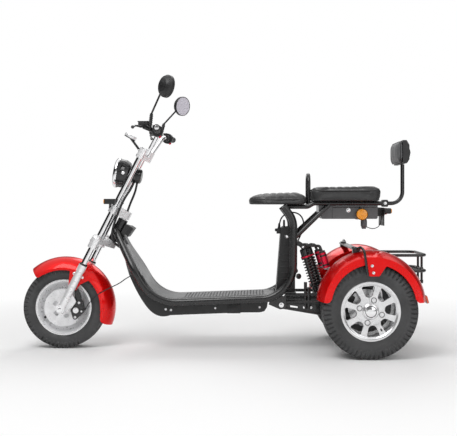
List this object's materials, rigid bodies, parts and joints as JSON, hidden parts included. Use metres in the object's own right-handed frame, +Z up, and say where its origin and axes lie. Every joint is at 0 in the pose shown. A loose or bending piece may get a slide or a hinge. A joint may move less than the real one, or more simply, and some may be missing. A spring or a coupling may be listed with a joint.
{
  "type": "three-wheeled electric motor scooter",
  "caption": "Chopper-style electric scooter with one raked front wheel, two wide rear wheels, a step-through deck, two seats, a backrest and a rear rack.",
  "frame": {"origin": "on the ground at the centre of the bounding box's foot", "axes": "-X towards the front wheel, -Y to the rider's left, +Z up"},
  "size_m": [2.0129, 0.843, 1.3213],
  "materials": {
    "amber_lens": "gloss",
    "black_leather": "satin",
    "black_metal": "satin",
    "black_plastic": "satin",
    "brake_steel": "brushed",
    "cast_silver": "satin",
    "chrome": "polished",
    "clear_lens": "gloss",
    "cord_rubber": "satin",
    "grey_leather": "satin",
    "grey_plastic": "satin",
    "machined_alloy": "polished",
    "mirror_glass": "polished",
    "orange_lens": "gloss",
    "red_anodised": "satin",
    "red_lens": "gloss",
    "red_paint": "gloss",
    "spring_paint": "gloss",
    "tyre_rubber": "matt"
  },
  "bodies": {
    "frame": {"backrest_pad": "grey_leather", "backrest_post": "black_metal", "backrest_shell": "black_plastic", "battery": "black_plastic", "battery_cable": "cord_rubber", "belly_pan": "black_plastic", "cargo_rack": "black_metal", "fender_stays": "black_metal", "floorboard": "grey_plastic", "frame_crossmembers": "black_metal", "front_seat": "black_leather", "grab_handle": "black_metal", "head_console": "black_plastic", "head_tube": "black_metal", "left_frame_tube": "black_metal", "left_rear_fender": "red_paint", "plate_holder": "black_plastic", "rear_axle": "black_metal", "rear_calipers": "black_metal", "rear_reflectors": "orange_lens", "rear_seat": "black_leather", "right_frame_tube": "black_metal", "right_rear_fender": "red_paint", "seat_frame": "black_metal", "shock_reservoirs": "red_anodised", "shock_springs": "spring_paint", "shocks": "black_metal", "side_reflectors": "amber_lens", "swing_arm": "black_metal", "tail_light": "red_lens", "tail_wire": "cord_rubber", "under_seat_box": "grey_plastic"},
    "steering": {"fork_lowers": "cast_silver", "front_axle": "chrome", "fork_tubes": "chrome", "lower_crown": "cast_silver", "middle_clamp": "cast_silver", "top_clamp": "cast_silver", "handlebar": "chrome", "grips": "black_plastic", "switch_housings": "black_plastic", "brake_levers": "black_metal", "mirrors": "black_plastic", "mirror_glass": "mirror_glass", "headlight_bucket": "black_metal", "headlight_lens": "clear_lens", "front_turn_signals": "black_plastic", "speedometer": "black_plastic", "front_fender": "red_paint", "front_caliper": "black_metal", "front_brake_hose": "cord_rubber", "wiring_loom": "cord_rubber", "stem_loom": "cord_rubber"},
    "front_wheel": {"front_tyre": "tyre_rubber", "front_rim": "cast_silver", "front_disc": "brake_steel"},
    "left_rear_wheel": {"left_rear_tyre": "tyre_rubber", "left_rear_rim": "machined_alloy"},
    "right_rear_wheel": {"right_rear_tyre": "tyre_rubber", "right_rear_rim": "machined_alloy"}
  },
  "joints": [
    {"name": "steering", "type": "hinge", "parent": "frame", "child": "steering", "pos_m": [-0.5392, 0, 0.58762], "axis": [0.454, 0, 0.891], "range_deg": [-35, 35], "deforming": ["front_brake_hose", "wiring_loom"]},
    {"name": "front_wheel_spin", "type": "hinge", "parent": "steering", "child": "front_wheel", "pos_m": [-0.8015, 0, 0.205], "axis": [0, 1, 0], "continuous": true},
    {"name": "left_rear_wheel_spin", "type": "hinge", "parent": "frame", "child": "left_rear_wheel", "pos_m": [0.6985, -0.27, 0.225], "axis": [0, 1, 0], "continuous": true},
    {"name": "right_rear_wheel_spin", "type": "hinge", "parent": "frame", "child": "right_rear_wheel", "pos_m": [0.6985, 0.27, 0.225], "axis": [0, 1, 0], "continuous": true}
  ]
}
